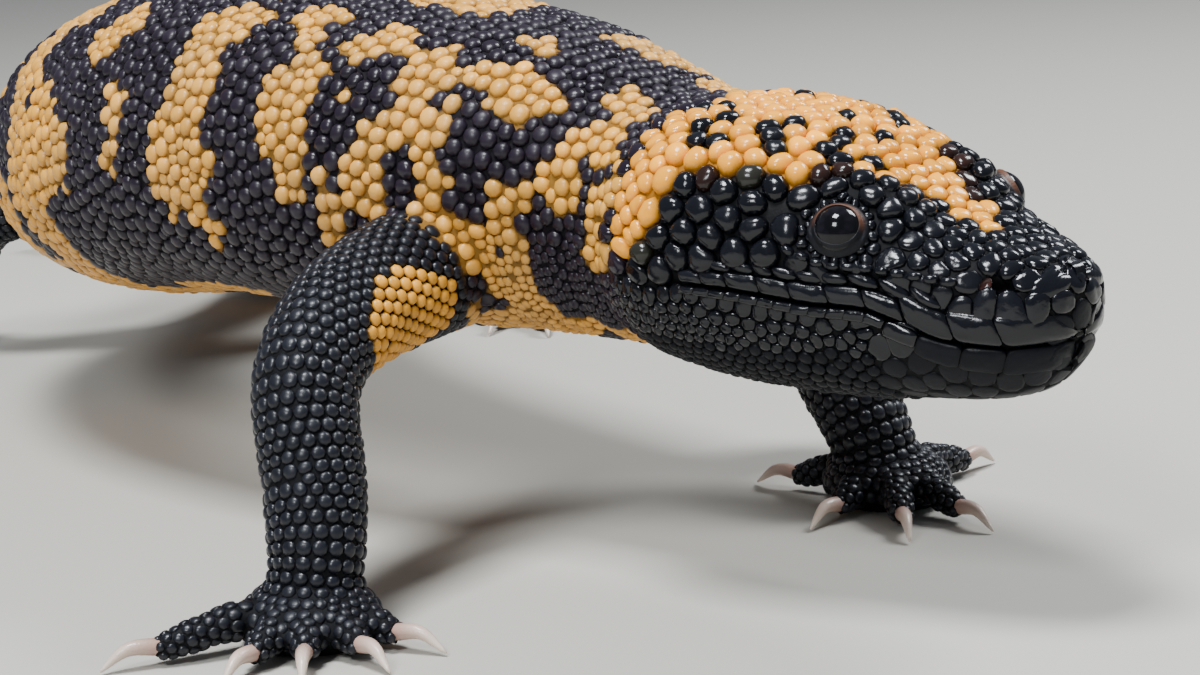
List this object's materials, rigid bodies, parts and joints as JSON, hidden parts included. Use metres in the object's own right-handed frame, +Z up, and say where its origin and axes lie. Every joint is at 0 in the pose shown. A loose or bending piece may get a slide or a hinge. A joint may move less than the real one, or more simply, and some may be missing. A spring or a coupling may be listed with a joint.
{
  "type": "gila monster",
  "caption": "Life-size stout lizard standing in mid-step, head raised and turned, thick blunt tail resting on the floor, scaly skin with dark bands.",
  "frame": {"origin": "middle of the footprint of the whole animal, at the level of the floor it stands on", "axes": "+X along the length of the animal towards its head, +Y to its left, +Z up"},
  "size_m": [0.4062, 0.1926, 0.0836],
  "materials": {
    "dark_skin": "glossy bead-like scales, near black",
    "banded_skin": "satin bead-like scales, orange and near-black bands",
    "eye": "wet dark cornea"
  },
  "bodies": {
    "root": {"head": "dark_skin", "eye_right": "eye", "eye_left": "eye", "neck": "banded_skin", "chest": "banded_skin", "belly": "banded_skin", "hips": "banded_skin", "tail_base": "banded_skin", "tail_middle": "banded_skin", "tail_tip": "banded_skin", "arm_right_upper": "dark_skin", "arm_right_lower": "dark_skin", "arm_right_foot": "dark_skin", "arm_left_upper": "dark_skin", "arm_left_lower": "dark_skin", "arm_left_foot": "dark_skin", "leg_right_upper": "dark_skin", "leg_right_lower": "dark_skin", "leg_right_foot": "dark_skin", "leg_left_upper": "dark_skin", "leg_left_lower": "dark_skin", "leg_left_foot": "dark_skin"}
  },
  "joints": []
}
